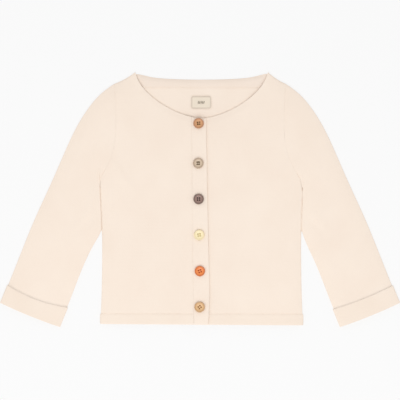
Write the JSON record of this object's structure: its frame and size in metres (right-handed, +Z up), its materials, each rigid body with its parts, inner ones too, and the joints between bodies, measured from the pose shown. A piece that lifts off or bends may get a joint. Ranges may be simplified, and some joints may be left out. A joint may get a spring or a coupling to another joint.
{
  "type": "baby cardigan",
  "caption": "Round-neck baby cardigan in fine cream knit, buttoned down the front, with long sleeves, cuffs and a hem band, laid flat on its back.",
  "frame": {"origin": "on the surface the cardigan lies on, at the middle of its outline seen from above", "axes": "+X to the wearer's left, along the spread of the sleeves; +Y from the hem to the neck; +Z up from the surface, out of the front"},
  "size_m": [0.48, 0.3058, 0.0103],
  "materials": {
    "knit": "fine cream cotton jersey knit",
    "band_knit": "doubled cream cotton knit band",
    "facing_knit": "cream cotton knit facing, a little darker",
    "label_cloth": "plain woven beige label cloth",
    "button_caramel_brown": "satin caramel-brown button resin",
    "button_greige": "satin greige button resin",
    "button_cocoa_brown": "satin cocoa-brown button resin",
    "button_pale_yellow": "satin pale yellow button resin",
    "button_orange": "satin orange button resin",
    "button_sand": "satin sand-coloured button resin"
  },
  "bodies": {
    "root": {"back_panel": "knit", "front_panel_right": "knit", "front_panel_left": "knit", "placket_right": "knit", "sleeve_right": "knit", "sleeve_left": "knit", "hem_band_back": "band_knit", "hem_band_front_right": "band_knit", "hem_band_front_left": "band_knit", "cuff_right": "band_knit", "cuff_left": "band_knit", "back_neck_facing": "facing_knit", "label": "label_cloth", "button_1": "button_caramel_brown", "button_2": "button_greige", "button_3": "button_cocoa_brown", "button_4": "button_pale_yellow", "button_5": "button_orange", "button_6": "button_sand"}
  },
  "joints": []
}
